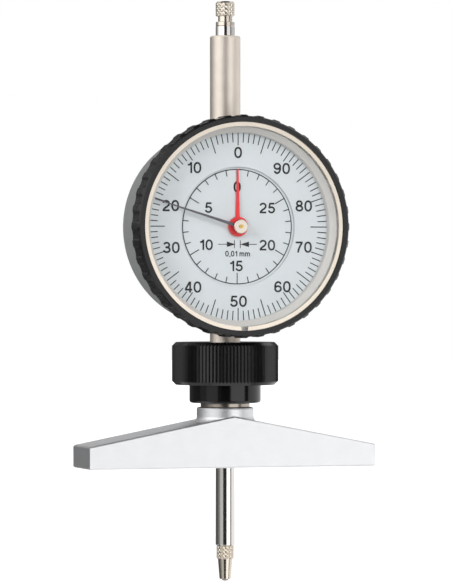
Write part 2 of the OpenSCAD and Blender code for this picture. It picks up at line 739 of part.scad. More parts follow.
module plate_pillars() color("goldenrod") dial_axis(rear_plate_front) around(pillar_angles, pillar_at)
    difference() {
        cylinder(h = pillar_h, r = pillar_r);
        translate([0, 0, pillar_h - pillar_grip - face_gap]) cylinder(h = pillar_h, r = screw_r);
    }

module front_plate() color("goldenrod") dial_axis(front_plate_back) difference() {
    cylinder(h = front_plate_t, r = plate_r);
    arbor_holes(front_plate_t, false);
    around(pillar_angles, pillar_at) translate([0, 0, -1]) cylinder(h = front_plate_t + 2, r = screw_r);
    around(foot_angles, foot_at) translate([0, 0, front_plate_t - 1]) cylinder(h = 2, r = foot_r);
}

module front_plate_screws() color("silver") dial_axis(front_plate_front)
    around(pillar_angles, pillar_at) screw(front_plate_t + pillar_grip);

module pivot_bush(t, hole_r) {
    ring(hole_r + bush_fit + bush_wall, hole_r + bush_fit, t);
}

module plate_bushes() color("gold") {
    dial_axis(flange_front) {
        pivot_bush(rear_plate_t, pivot_r);
        translate([hair_x, hair_v, 0]) pivot_bush(rear_plate_t, pivot_r);
    }
    dial_axis(front_plate_back) {
        pivot_bush(front_plate_t, cannon_r);
        translate([hair_x, hair_v, 0]) pivot_bush(front_plate_t, pivot_r);
        translate([arbor_x, arbor_v, 0]) pivot_bush(front_plate_t, pivot_r);
    }
    dial_axis(cock_back - cock_t) translate([arbor_x, arbor_v, 0]) pivot_bush(cock_t, pivot_r);
}

foot_angles = [75, 195, 315];
foot_at = 14;
foot_r = 0.6;

module dial_disc() color("lightsteelblue") dial_axis(front_plate_front) {
    ring(disc_r, disc_bore_r, dial_t);
    around(foot_angles, foot_at) translate([0, 0, -1]) cylinder(h = 1 + dial_t / 2, r = foot_r);
}

// ---- Gear train ----

arbor_gap = 0.05;

module rack_pinion() color("silver") dial_axis() translate([arbor_x, arbor_v, 0]) {
    rotate(rack_pinion_turn) translate([0, 0, -rack_pinion_w / 2])
        gear(rack_pinion_teeth, rack_module, rack_pinion_w, pivot_r, 0, 3);
    translate([0, 0, cock_back - cock_t]) cylinder(h = front_plate_front - cock_back + cock_t - 0.2, r = pivot_r);
    translate([0, 0, cock_back + arbor_gap])
        ring(shaft_r, pivot_r - eps, front_plate_back - cock_back - 2 * arbor_gap);
}

module drive_gear() color("gold") dial_axis(drive_back) translate([arbor_x, arbor_v, 0]) difference() {
    rotate(drive_turn) gear(drive_teeth, gear_module, gear_t, shaft_r, -pinion_shift, 1);
    wheel_windows(gear_module * drive_teeth / 2, shaft_r, gear_t, 5);
}

module counter_pinion() color("gold") dial_axis(counter_back) translate([arbor_x, arbor_v, 0])
    rotate(arbor_to_centre) gear(counter_pinion_teeth, counter_module, counter_t, shaft_r, 0, 3);

module centre_arbor() color("silver") dial_axis() {
    translate([0, 0, flange_front]) cylinder(h = rear_plate_t + 0.2, r = pivot_r);
    translate([0, 0, rear_plate_front + arbor_gap]) rotate(centre_turn)
        gear(centre_teeth, gear_module, drive_front - rear_plate_front + 0.1, pivot_r - eps, pinion_shift, 3);
    translate([0, 0, rear_plate_front + arbor_gap])
        cylinder(h = pointer_d + hub_t + cap_t + 0.25 - rear_plate_front - arbor_gap, r = centre_shaft_r);
}

module main_pointer() color("dimgray") dial_axis(pointer_d) difference() {
    union() {
        cylinder(h = hub_t, r = 1.5);
        rotate(90 + pointer_angle) linear_extrude(hand_t) polygon([
            [0, -pointer_w / 2], [pointer_len * 0.45, -pointer_w / 3], [pointer_len, -pointer_w / 7],
            [pointer_len, pointer_w / 7], [pointer_len * 0.45, pointer_w / 3], [0, pointer_w / 2]
        ]);
    }
    translate([0, 0, -1]) cylinder(h = hub_t + 2, r = centre_shaft_r);
}

module pointer_cap() color("wheat") dial_axis(pointer_d + hub_t) difference() {
    turned([[0, 0], [pointer_cap_d / 2, 0], [pointer_cap_d / 2, cap_t - 0.15], [pointer_cap_d / 2 - 0.15, cap_t],
        [0, cap_t]]);
    translate([0, 0, -1]) cylinder(h = cap_t + 2, r = centre_shaft_r);
}

module counter_gear() color("gold") dial_axis(counter_back) difference() {
    union() {
        rotate(counter_turn) gear(counter_gear_teeth, counter_module, counter_t, centre_shaft_r + bezel_fit, 0, 2);
        translate([0, 0, counter_t - eps])
            ring(cannon_r, centre_shaft_r + bezel_fit, counter_hand_d + 0.3 - counter_front + eps);
    }
    wheel_windows(counter_module * counter_gear_teeth / 2, cannon_r, counter_t, 4);
}

module counter_pointer() color("red") dial_axis(counter_hand_d - 0.4) difference() {
    union() {
        cylinder(h = 0.7, r = counter_boss_d / 2);
        rotate(90) linear_extrude(0.25) polygon([
            [0, -counter_w / 2], [counter_circle_d / 2, -counter_w / 7],
            [counter_circle_d / 2, counter_w / 7], [0, counter_w / 2]
        ]);
    }
    translate([0, 0, -1]) cylinder(h = 3, r = cannon_r);
}

module hairspring_arbor() color("silver") dial_axis() translate([hair_x, hair_v, 0]) {
    translate([0, 0, flange_front]) cylinder(h = front_plate_front - flange_front - 0.2, r = pivot_r);
    translate([0, 0, rear_plate_front + arbor_gap])
        ring(shaft_r, pivot_r - eps, front_plate_back - rear_plate_front - 2 * arbor_gap);
}

module hairspring_gear() color("gold") dial_axis(drive_back) translate([hair_x, hair_v, 0]) difference() {
    rotate(hair_turn) gear(drive_teeth, gear_module, gear_t, shaft_r, -pinion_shift, 1);
    wheel_windows(gear_module * drive_teeth / 2, shaft_r, gear_t, 5);
}

hair_collet_r = 1.2;
hair_wire = 0.1;
hair_outer_r = 5;
hair_steps = 20;

module hairspring_collet() color("gold") dial_axis(hairspring_back) translate([hair_x, hair_v, 0])
    ring(hair_collet_r, shaft_r, hairspring_h);

// The spiral's radius after i steps, from the collet out to the stud.
function hair_radius(i) = hair_collet_r + 0.1
    + (hair_outer_r - hair_collet_r - 0.1) * i / (hairspring_turns * hair_steps);

module hairspring() color("steelblue") dial_axis(hairspring_back) translate([hair_x, hair_v, 0])
    rotate(hair_angle) linear_extrude(hairspring_h) polygon(concat(
        [for (i = [0 : hairspring_turns * hair_steps]) polar(hair_radius(i), 360 * i / hair_steps)],
        [for (i = [hairspring_turns * hair_steps : -1 : 0])
            polar(hair_radius(i) + hair_wire, 360 * i / hair_steps)]
    ));

module hairspring_stud() color("silver") dial_axis(hairspring_back - 0.1) translate([hair_x, hair_v, 0])
    rotate(hair_angle) translate([hair_outer_r + hair_wire + 0.5, 0, 0])
        cylinder(h = front_plate_back - hairspring_back + 0.1, r = 0.5);

// ---- Bezel, dial ring and crystal ----

bezel_band_front = bezel_front - bezel_chamfer_d;
scallop_r = 0.14 * bezel_d;

module bezel() color("#222224") dial_axis() difference() {
    turned([
        [case_r + bezel_fit, bezel_back], [bezel_d / 2 - 0.25, bezel_back], [bezel_d / 2, bezel_back + 0.25],
        [bezel_d / 2, bezel_band_front], [bezel_d / 2 - bezel_chamfer_r, bezel_front], [seat_r, bezel_front],
        [seat_r, crystal_seat - 0.5], [case_r, crystal_seat - 0.5], [ring_r + 0.2, rim_front + 0.35],
        [ring_r + 0.2, rim_front + 0.2], [case_r + bezel_fit, rim_front + 0.2],
        [case_r + bezel_fit, wire_d + wire_r], [case_r + wire_r + 0.02, wire_d + wire_r],
        [case_r + wire_r + 0.02, wire_d - wire_r], [case_r + bezel_fit, wire_d - wire_r]
    ]);
    around([for (i = [0 : bezel_scallops - 1]) 360 * (i + 0.5) / bezel_scallops], bezel_d / 2 + scallop_r - scallop_depth)
        translate([0, 0, bezel_back - 1]) cylinder(h = bezel_front - bezel_back + 2, r = scallop_r);
}

module bezel_wire() color("silver") dial_axis() difference() {
    translate([0, 0, wire_d]) rotate_extrude() translate([case_r, 0]) circle(r = wire_r, $fn = 32);
    translate([-1.5, 0, wire_d - 2]) cube([3, 2 * case_r, 4]);
}

module reflector_ring() color("tan") dial_axis() turned([
    [reflector_r, ring_face], [ring_r, ring_face], [ring_r, rim_front + 0.25], [case_r - 0.2, crystal_seat - 0.5],
    [seat_r, crystal_seat - 0.5], [seat_r, crystal_seat], [case_r + 0.1, crystal_seat], [reflector_r, rim_front]
]);

module dial_ring() color("lightsteelblue") dial_axis(ring_back) ring(ring_r, ring_bore_r, dial_t);

module crystal() color([0.9, 0.95, 1, 0.3]) dial_axis(crystal_seat) turned([
    [0, 0], [seat_r - 0.05, 0], [seat_r - 0.05, crystal_t - 0.15], [seat_r - 0.2, crystal_t], [0, crystal_t]
]);

module snap_ring() color("ivory") dial_axis(crystal_front) difference() {
    ring(seat_r, seat_r - snap_ring_w, snap_ring_t);
    translate([0, 0, -1]) linear_extrude(snap_ring_t + 2) polygon([
        [-snap_ring_gap * 0.7, 3 - seat_r], [snap_ring_gap * 0.7, 3 - seat_r],
        [snap_ring_gap * 0.4, -seat_r - 1], [-snap_ring_gap * 0.4, -seat_r - 1]
    ]);
}

bridge();
collet();
clamp_nut();
case();
back_cover();
back_cover_screws();
lower_stem();
lower_bush();
upper_tube();
upper_bush();
guide_plate();
guide_plate_screws();
rear_plate();
rear_plate_screws();
plate_pillars();
front_plate();
front_plate_screws();
plate_bushes();
pinion_cock();
cock_screw();
dial_disc();
hairspring();
hairspring_stud();
return_spring();
spring_post();
bezel();
bezel_wire();
reflector_ring();
dial_ring();
crystal();
snap_ring();
spindle();
guide_pin();
spring_pin();
lifting_cap();
contact_point();
contact_ball();
rack_pinion();
drive_gear();
counter_pinion();
centre_arbor();
main_pointer();
pointer_cap();
counter_gear();
counter_pointer();
hairspring_arbor();
hairspring_gear();
hairspring_collet();
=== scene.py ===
"""Looks for the dial depth gauge.

Laid out as a Blender add-on and run as a script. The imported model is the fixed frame. The printing on the
dials, the bezel, the knurled grips and the springs are modelled here, and every piece gets its finish.
"""

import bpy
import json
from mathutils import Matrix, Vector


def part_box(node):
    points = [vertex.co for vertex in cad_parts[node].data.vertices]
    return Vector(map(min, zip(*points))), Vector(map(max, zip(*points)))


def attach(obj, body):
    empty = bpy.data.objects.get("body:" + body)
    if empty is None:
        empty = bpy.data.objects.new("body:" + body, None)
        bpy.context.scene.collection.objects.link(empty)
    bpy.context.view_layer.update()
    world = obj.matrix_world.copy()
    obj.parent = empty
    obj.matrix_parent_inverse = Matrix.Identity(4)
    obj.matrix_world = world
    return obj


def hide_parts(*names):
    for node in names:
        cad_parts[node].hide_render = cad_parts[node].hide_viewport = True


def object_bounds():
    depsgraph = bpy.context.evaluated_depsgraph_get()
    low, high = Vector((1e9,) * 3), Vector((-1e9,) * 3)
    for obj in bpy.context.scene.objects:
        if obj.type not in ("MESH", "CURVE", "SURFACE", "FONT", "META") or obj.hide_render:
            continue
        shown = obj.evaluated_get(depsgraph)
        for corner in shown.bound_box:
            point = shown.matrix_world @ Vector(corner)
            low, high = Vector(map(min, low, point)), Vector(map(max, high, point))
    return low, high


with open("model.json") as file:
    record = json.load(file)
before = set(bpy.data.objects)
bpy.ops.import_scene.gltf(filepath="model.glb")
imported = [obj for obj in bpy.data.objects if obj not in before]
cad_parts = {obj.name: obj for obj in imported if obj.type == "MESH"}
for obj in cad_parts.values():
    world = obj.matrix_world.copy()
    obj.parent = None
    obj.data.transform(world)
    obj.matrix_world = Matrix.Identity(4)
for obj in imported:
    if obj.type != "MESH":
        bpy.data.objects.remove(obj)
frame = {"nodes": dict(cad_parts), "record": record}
CAD_BOX = [list(corner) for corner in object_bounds()]

import json
import math

import bpy
from bpy.props import FloatProperty, FloatVectorProperty, IntProperty, PointerProperty
from mathutils import Vector

bl_info = {
    "name": "Dial Depth Gauge",
    "version": (1, 0, 0),
    "blender": (4, 5, 0),
    "location": "View3D > Sidebar > Depth Gauge",
    "description": "Dresses a dial depth gauge: dials, bezel, knurled grips, springs, finishes and studio",
    "category": "Object",
}

MM = 0.001
TINY = 0.001 * MM  # places nearer than this count as the same
FRONT = (math.pi / 2, 0, 0)  # turns a flat form from facing up to facing the dial's viewer
SCALLOPS = 40  # round the bezel, as many as the CAD bezel has
CHAMFER = 0.12 * MM  # at the ends of the knurled grips
SLEEVE_GAP = 0.02 * MM  # between a knurled grip's body and the knurl's grooves
WHITE = (1, 1, 1, 1)
NOISE_SPAN = {"From Min": 0.3, "From Max": 0.7}  # the noise texture seldom leaves these values


def linear(hex_colour):
    """An sRGB hex colour as the linear RGB that Blender works in."""
    channels = [int(hex_colour[i:i + 2], 16) / 255 for i in (1, 3, 5)]
    return tuple(c / 12.92 if c <= 0.04045 else ((c + 0.055) / 1.055) ** 2.4 for c in channels)


def middle(node):
    """The centre of a CAD node's box."""
    low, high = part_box(node)
    return (low + high) / 2


def radius_of(node):
    """Half the width of a CAD node's box."""
    low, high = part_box(node)
    return (high.x - low.x) / 2


DIAL = middle("dial_ring")
RING_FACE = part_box("dial_ring")[0].y
DISC_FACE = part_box("dial_disc")[0].y


# ---- What a user may change ----


class GaugeSizes(bpy.types.PropertyGroup):
    """Sizes of what is printed, knurled and wound, in real units."""

    ink: FloatProperty(name="Ink thickness", description="How far the printing stands off the dials",
                       default=0.03 * MM, min=0.005 * MM, max=0.1 * MM, unit="LENGTH", precision=5)
    line: FloatProperty(name="Line width", description="Width of the scale's lines",
                        default=0.26 * MM, min=0.05 * MM, max=0.5 * MM, unit="LENGTH", precision=5)
    scale_radius: FloatProperty(name="Outer scale radius",
                                description="Radius at which the outer scale's lines end",
                                default=24.45 * MM, min=20 * MM, max=24.6 * MM, unit="LENGTH", precision=5)
    outer_height: FloatProperty(name="Outer numbers", description="Height of the numbers on the outer scale",
                                default=2.87 * MM, min=1 * MM, max=4 * MM, unit="LENGTH", precision=5)
    counter_height: FloatProperty(name="Counter numbers", description="Height of the numbers on the counter scale",
                                  default=2.72 * MM, min=1 * MM, max=4 * MM, unit="LENGTH", precision=5)
    scallop_depth: FloatProperty(name="Scallop depth", description="Depth of the bezel's scallops",
                                 default=0.36 * MM, min=0.1 * MM, max=0.5 * MM, unit="LENGTH", precision=5)
    knurl_depth: FloatProperty(name="Knurl depth", description="Height of the knurl's diamonds",
                               default=0.18 * MM, min=0.02 * MM, max=0.3 * MM, unit="LENGTH", precision=5)
    knurl_cells: IntProperty(name="Knurl cells", description="Diamonds round each knurled grip",
                             default=14, min=12, max=60)


class GaugeColours(bpy.types.PropertyGroup):
    """Colours of the painted and printed surfaces."""

    dial: FloatVectorProperty(name="Dial", description="Dial paint", subtype="COLOR", default=linear("#CDD3D6"))
    ink: FloatVectorProperty(name="Ink", description="Printing ink", subtype="COLOR", default=linear("#17181C"))
    red: FloatVectorProperty(name="Red hand", description="Counter hand lacquer", subtype="COLOR",
                             default=linear("#DE1F28"))
    case: FloatVectorProperty(name="Case", description="Case paint", subtype="COLOR", default=linear("#979999"))
    black: FloatVectorProperty(name="Black", description="Bezel and nut", subtype="COLOR",
                               default=linear("#121214"))


# ---- Materials ----


def add_node(tree, kind, settings=None, links=None):
    """Adds a shader node, sets its properties and sockets by name or number, and links sockets into it."""
    node = tree.nodes.new(kind)
    for name, value in (settings or {}).items():
        if isinstance(name, int) or name in node.inputs:
            node.inputs[name].default_value = value
        else:
            setattr(node, name, value)
    for name, source in (links or {}).items():
        tree.links.new(source, node.inputs[name])
    return node


def new_material(name):
    """An empty node material and its tree."""
    material = bpy.data.materials.new(name)
    material.use_nodes = True
    material.node_tree.nodes.clear()
    return material, material.node_tree


def position(tree, scale=(1, 1, 1)):
    """A point of the piece in the gauge's own metres, stretched by a Mapping node."""
    where = add_node(tree, "ShaderNodeTexCoord").outputs["Object"]
    return add_node(tree, "ShaderNodeMapping", {"Scale": scale}, {"Vector": where}).outputs["Vector"]


def noise(tree, size, detail=3, scale=(1, 1, 1)):
    """Noise whose lumps are about this size in metres, stretched by scale."""
    return add_node(tree, "ShaderNodeTexNoise", {"Scale": 1 / size, "Detail": detail},
                    {"Vector": position(tree, scale)}).outputs["Fac"]


def shade(colour, factor):
    """The same colour, lighter or darker."""
    return tuple(min(1, c * factor) for c in colour)


def dress(material, shader, dark, light, tint, roughness, marks, depth):
    """Completes a finish: its colour goes from dark to light with the tint, and its marks are this deep."""
    tree = material.node_tree
    colour = add_node(tree, "ShaderNodeMix", {"data_type": "RGBA", 6: (*dark, 1), 7: (*light, 1)}, {0: tint})
    relief = add_node(tree, "ShaderNodeBump", {"Strength": 1.0, "Distance": depth}, {"Height": marks})
    surface = add_node(
        tree, "ShaderNodeBsdfPrincipled", shader,
        {"Base Color": colour.outputs[2], "Roughness": roughness, "Normal": relief.outputs["Normal"]})
    add_node(tree, "ShaderNodeOutputMaterial", links={"Surface": surface.outputs["BSDF"]})
    return material


def metal_finish(name, colour, roughness, grain=(1, 1, 1), grain_size=0.25 * MM, depth=0.002 * MM,
                 variation=0.06, rough_variation=0.05):
    """Bare or plated metal: colour, gloss and tool marks that follow the grain's direction."""
    material, tree = new_material(name)
    tint = add_node(tree, "ShaderNodeMapRange", NOISE_SPAN, {"Value": noise(tree, 4 * MM)})
    marks = noise(tree, grain_size, 4, grain)
    span = {**NOISE_SPAN, "To Min": roughness - rough_variation, "To Max": roughness + rough_variation}
    rough = add_node(tree, "ShaderNodeMapRange", span, {"Value": marks})
    return dress(material, {"Metallic": 1.0}, shade(colour, 1 - variation), colour, tint.outputs[0],
                 rough.outputs[0], marks, depth)


def paint_finish(name, colour, roughness, grain_size=0.3 * MM, depth=0.004 * MM, variation=0.06, gloss=0.5,
                 rough_variation=0.04):
    """Paint, plastic or ink: an even colour with a fine, shallow texture."""
    material, tree = new_material(name)
    tint = add_node(tree, "ShaderNodeMapRange", NOISE_SPAN, {"Value": noise(tree, 6 * MM)})
    marks = noise(tree, grain_size)
    span = {**NOISE_SPAN, "To Min": roughness - rough_variation, "To Max": roughness + rough_variation}
    rough = add_node(tree, "ShaderNodeMapRange", span, {"Value": marks})
    return dress(material, {"Specular IOR Level": gloss}, shade(colour, 1 - variation), colour,
                 tint.outputs[0], rough.outputs[0], marks, depth)


def knurl_finish(name, colour, floor, crest):
    """Knurled nickel silver: bright on the diamonds' points, dull down in the grooves between them, where painted
    shade darkens it nearly to black.

    It changes from one to the other between these two distances from the spindle's axis.
    """
    material, tree = new_material(name)
    distance = add_node(tree, "ShaderNodeVectorMath", {"operation": "LENGTH"}, {0: position(tree, (1, 1, 0))})
    height = add_node(tree, "ShaderNodeMapRange", {"From Min": floor, "From Max": crest},
                      {"Value": distance.outputs["Value"]}).outputs[0]
    rough = add_node(tree, "ShaderNodeMapRange", {"To Min": 0.5, "To Max": 0.3}, {"Value": height})
    # painted shade: the colour falls nearly to black towards the grooves' floor, where shade falls between the
    # diamonds
    return dress(material, {"Metallic": 1.0}, shade(colour, 0.04), colour, height, rough.outputs[0],
                 noise(tree, 0.1 * MM), 0.002 * MM)


def crystal_finish():
    """Watch crystal with an anti-reflection film: clear, with a faint reflection that grows at a slant."""
    film = 0.35  # the share of the reflection that the film leaves
    material, tree = new_material("polished acrylic crystal")
    clear = add_node(tree, "ShaderNodeBsdfTransparent", {"Color": (0.99, 0.99, 0.99, 1)})
    gloss = add_node(tree, "ShaderNodeBsdfGlossy", {"Roughness": 0.02})
    fresnel = add_node(tree, "ShaderNodeFresnel", {"IOR": 1.49})
    inside = add_node(tree, "ShaderNodeNewGeometry").outputs["Backfacing"]
    outside = add_node(tree, "ShaderNodeMath", {"operation": "SUBTRACT", 0: 1}, {1: inside})
    sheen = add_node(tree, "ShaderNodeMath", {"operation": "MULTIPLY"},
                     {0: fresnel.outputs[0], 1: outside.outputs[0]})
    share = add_node(tree, "ShaderNodeMath", {"operation": "MULTIPLY", 1: film}, {0: sheen.outputs[0]})
    mix = add_node(tree, "ShaderNodeMixShader",
                   links={0: share.outputs[0], 1: clear.outputs[0], 2: gloss.outputs[0]})
    add_node(tree, "ShaderNodeOutputMaterial", links={"Surface": mix.outputs[0]})
    return material


def nut_finish(colour):
    """Black anodised aluminium.

    The knurl is matt from the anodising. The plain collar below it keeps its turned gloss.
    """
    material, tree = new_material("black anodised aluminium")
    knurl_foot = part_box("clamp_nut")[1].z - 11.3 * MM
    height = add_node(tree, "ShaderNodeSeparateXYZ", links={"Vector": position(tree)}).outputs["Z"]
    matt = add_node(tree, "ShaderNodeMapRange",
                    {"From Min": knurl_foot - 0.1 * MM, "From Max": knurl_foot, "To Min": 0.13, "To Max": 0.24},
                    {"Value": height})
    tint = add_node(tree, "ShaderNodeMapRange", NOISE_SPAN, {"Value": noise(tree, 5 * MM)})
    return dress(material, {"Specular IOR Level": 0.5}, shade(colour, 0.3), shade(colour, 0.5), tint.outputs[0],
                 matt.outputs[0], noise(tree, 0.2 * MM, scale=(1, 1, 4)), 0.003 * MM)


def make_finishes(colours):
    """Every finish on the gauge, by the record's slot name, or by one of its own where it has no slot."""
    return {
        # Steel ground and lapped flat: nearly white, with very fine marks along the bridge.
        "lapped_steel": metal_finish("lapped steel", linear("#F3F4F6"), 0.42, grain=(0.1, 1, 1),
                                     depth=0.001 * MM, variation=0.03),
        # Nickel plate over turned brass: satin, slightly warm.
        "nickel_plate": metal_finish("satin nickel plate", linear("#B3AAA0"), 0.24, grain=(1, 1, 4)),
        "black_knurled_aluminium": nut_finish(colours.black),
        # Stove enamel on a cast case: satin grey with a fine orange peel.
        "grey_case_enamel": paint_finish("grey stove enamel", colours.case, 0.42, grain_size=0.5 * MM,
                                         depth=0.006 * MM),
        # Turned stainless stem, satin: fine rings round it.
        "satin_stem_steel": metal_finish("satin turned steel", linear("#FBF0E4"), 0.47, grain=(1, 1, 14),
                                         grain_size=0.4 * MM),
        # Turned bronze: dull gold, with fine rings round it.
        "bronze": metal_finish("turned bronze", linear("#C49A5A"), 0.3, grain=(1, 1, 8)),
        # Clock brass, brushed with straight grain before it is cut.
        "brass": metal_finish("brushed clock brass", linear("#D9B65E"), 0.3, grain=(0.2, 1, 1)),
        # Printed dials: silvered lacquer, matt, a little blue.
        "dial_enamel": paint_finish("silvered dial lacquer", colours.dial, 0.6, grain_size=0.15 * MM,
                                    depth=0.001 * MM, variation=0.03),
        # Spring steel tempered blue: glossy, and even in colour.
        "blued_spring": metal_finish("blued spring steel", linear("#33508C"), 0.2),
        # Drawn wire: grey and smooth, with marks from the die along it.
        "spring_steel": metal_finish("drawn spring wire", linear("#A9AAAC"), 0.28, grain=(1, 1, 6)),
        # Glass-filled polyamide bezel: black, satin from the mould.
        "black_bezel_plastic": paint_finish("black moulded polyamide", colours.black, 0.27,
                                            grain_size=0.25 * MM, depth=0.002 * MM, gloss=0.4),
        # Nickel silver, polished: cream-white.
        "warm_nickel": metal_finish("polished nickel silver", linear("#E2D8CA"), 0.2, grain=(1, 1, 4),
                                    grain_size=0.3 * MM, depth=0.001 * MM),
        "cap_knurl": knurl_finish("knurled nickel silver cap", linear("#FFF6E6"), 2.34 * MM, 2.455 * MM),
        "point_knurl": knurl_finish("knurled nickel silver point", linear("#FCEFDB"), 2.07 * MM, 2.185 * MM),
        "clear_crystal": crystal_finish(),
        # Hardened steel, ground and polished: mirror bright.
        "polished_spindle_steel": metal_finish(
            "polished hardened steel", linear("#E9E6E2"), 0.09, grain=(1, 1, 10), grain_size=0.3 * MM,
            depth=0.0005 * MM, variation=0.03, rough_variation=0.02),
        # Tungsten carbide ball, polished: darker and greyer than the steel round it.
        "hard_ball": metal_finish("polished tungsten carbide", linear("#A3A09C"), 0.1, grain_size=0.3 * MM,
                                  depth=0.0003 * MM, variation=0.03, rough_variation=0.02),
        # Sprayed lacquer on the stamped hands: smooth and half glossy.
        "grey_hand_lacquer": paint_finish("grey hand lacquer", linear("#55535A"), 0.45),
        "red_hand_lacquer": paint_finish("red hand lacquer", colours.red, 0.4),
        # The light cone round the dial: the same silvered lacquer, a little warmer and darker.
        "reflector": paint_finish("silvered reflector lacquer", linear("#CBC9C5"), 0.5, grain_size=0.2 * MM,
                                  depth=0.001 * MM, variation=0.03),
        # Screen-printed epoxy ink: dense and matt.
        "ink": paint_finish("screen-printed ink", colours.ink, 0.6, grain_size=0.1 * MM, depth=0.001 * MM,
                            variation=0.1),
    }


FINISHES = {}
OTHER_FINISHES = {"reflector_ring": "reflector", "centre_arbor": "brass"}  # nodes that don't look like their slot


def wear(piece, finish):
    """Gives a piece one finish in place of what it had."""
    piece.data.materials.clear()
    piece.data.materials.append(FINISHES[finish])


# ---- Modelling by hand ----


def deselect():
    """Leaves edit mode and selects nothing."""
    if bpy.context.object and bpy.context.object.mode != "OBJECT":
        bpy.ops.object.mode_set(mode="OBJECT")
    bpy.ops.object.select_all(action="DESELECT")


def pick(pieces):
    """Selects these objects alone, the first of them active."""
    deselect()
    for piece in pieces:
        piece.select_set(True)
    bpy.context.view_layer.objects.active = pieces[0]


def edit(piece, kind="VERT"):
    """Enters edit mode on one piece with all its vertices or faces selected."""
    pick([piece])
    bpy.ops.object.mode_set(mode="EDIT")
    bpy.ops.mesh.select_mode(type=kind)
    bpy.ops.mesh.select_all(action="SELECT")


def choose_edges(piece, test):
    """Selects the edges that pass the test, in edit mode."""
    bpy.ops.object.mode_set(mode="OBJECT")
    mesh = piece.data
    for part in (mesh.vertices, mesh.edges, mesh.polygons):
        part.foreach_set("select", [False] * len(part))
    for edge in mesh.edges:
        edge.select = test(edge)
    bpy.ops.object.mode_set(mode="EDIT")
    bpy.ops.mesh.select_mode(type="EDGE")


def join(pieces):
    """Several objects as one; each keeps its finish."""
    pick(pieces)
    bpy.ops.object.join()
    return pieces[0]


def apply_modifiers(piece):
    """Applies all of a piece's modifiers in their order."""
    pick([piece])
    for modifier in list(piece.modifiers):
        bpy.ops.object.modifier_apply(modifier=modifier.name)


def settle(piece, name, body, slot, finish=None, stands_for=(), smooth=None):
    """Applies the piece's place, points its faces outwards, and hangs it on its body with its finish.

    A piece that already wears its finishes keeps them.
    """
    pick([piece])
    bpy.ops.object.transform_apply(location=True, rotation=True, scale=True)
    bpy.ops.object.mode_set(mode="EDIT")
    bpy.ops.mesh.select_all(action="SELECT")
    bpy.ops.mesh.remove_doubles(threshold=TINY / 2)
    bpy.ops.mesh.normals_make_consistent(inside=False)
    bpy.ops.object.mode_set(mode="OBJECT")
    if smooth is not None:
        bpy.ops.object.shade_smooth_by_angle(angle=math.radians(smooth))
    piece.name = name
    if not piece.data.materials:
        wear(piece, finish or slot)
    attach(piece, body)
    if stands_for:
        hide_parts(*stands_for)


def on_dial(radius, angle, depth):
    """A point on the dial, its angle clockwise from the top."""
    return DIAL.x + radius * math.sin(angle), depth, DIAL.z + radius * math.cos(angle)


def printed_line(outer, length, angle, face, width):
    """A radial line that ends at this radius."""
    bpy.ops.mesh.primitive_plane_add(size=1, location=on_dial(outer - length / 2, angle, face),
                                     rotation=(math.pi / 2, angle, 0))
    line = bpy.context.object
    line.scale = (width, length, 1)
    return line


def bow(x, y, rx, ry, start, end, fullness=1.0, steps=16):
    """Points on an oval from one angle to another in degrees; below 1 the fullness squares it a little."""
    points = []
    for i in range(steps + 1):
        angle = math.radians(start + (end - start) * i / steps)
        c, d = math.cos(angle), math.sin(angle)
        points.append((x + rx * math.copysign(abs(c) ** fullness, c),
                       y + ry * math.copysign(abs(d) ** fullness, d)))
    return points


# Centre lines of each figure's strokes, in a box one unit high.
STROKES = {
    "0": [bow(0.33, 0.5, 0.258, 0.428, 0, 360, 0.88, 32)],
    "1": [[(0.40, 0), (0.40, 1.0)], [(0.10, 0.755), (0.21, 0.757), (0.29, 0.785), (0.35, 0.85), (0.37, 0.93)]],
    "2": [bow(0.33, 0.69, 0.252, 0.238, 170, -28) + [(0.44, 0.44), (0.25, 0.30), (0.13, 0.18), (0.095, 0.10)],
          [(0.02, 0.072), (0.625, 0.072)]],
    "3": [bow(0.32, 0.72, 0.225, 0.208, 165, -90), bow(0.33, 0.29, 0.258, 0.218, 90, -168),
          [(0.22, 0.51), (0.34, 0.51)]],
    "4": [[(0.475, 0), (0.475, 1.0)], [(0.445, 0.97), (0.085, 0.31)], [(0.025, 0.27), (0.655, 0.27)]],
    "5": [[(0.60, 0.928), (0.135, 0.928)], [(0.18, 0.94), (0.115, 0.47)],
          bow(0.32, 0.33, 0.262, 0.258, 142, -168)],
    "6": [bow(0.335, 0.31, 0.255, 0.238, 0, 360, 1.0, 28), bow(0.35, 0.5, 0.27, 0.428, 190, 32)],
    "7": [[(0.03, 0.928), (0.635, 0.928)], [(0.585, 0.89), (0.45, 0.68), (0.32, 0.38), (0.262, 0.17), (0.24, 0)]],
    "8": [bow(0.33, 0.728, 0.213, 0.2, 0, 360, 1.0, 28), bow(0.33, 0.287, 0.258, 0.215, 0, 360, 1.0, 28)],
    "9": [bow(0.325, 0.69, 0.255, 0.238, 0, 360, 1.0, 28), bow(0.31, 0.5, 0.27, 0.428, 10, -148)],
    "m": [[(0.08, 0), (0.08, 0.73)], bow(0.28, 0.48, 0.2, 0.185, 180, 0) + [(0.48, 0)],
          bow(0.68, 0.48, 0.2, 0.185, 180, 0) + [(0.88, 0)]],
    ",": [[(0.16, 0.15), (0.16, 0.01), (0.11, -0.12)]],
    " ": [],
}
FIGURE_STEP = 0.776  # how far a figure moves the next one on
ADVANCE = {"m": 1.13, ",": 0.37, " ": 0.37, "1": 0.6}  # the signs that take another step
SAME_POINT = 1e-4  # a stroke whose ends are nearer than this is closed

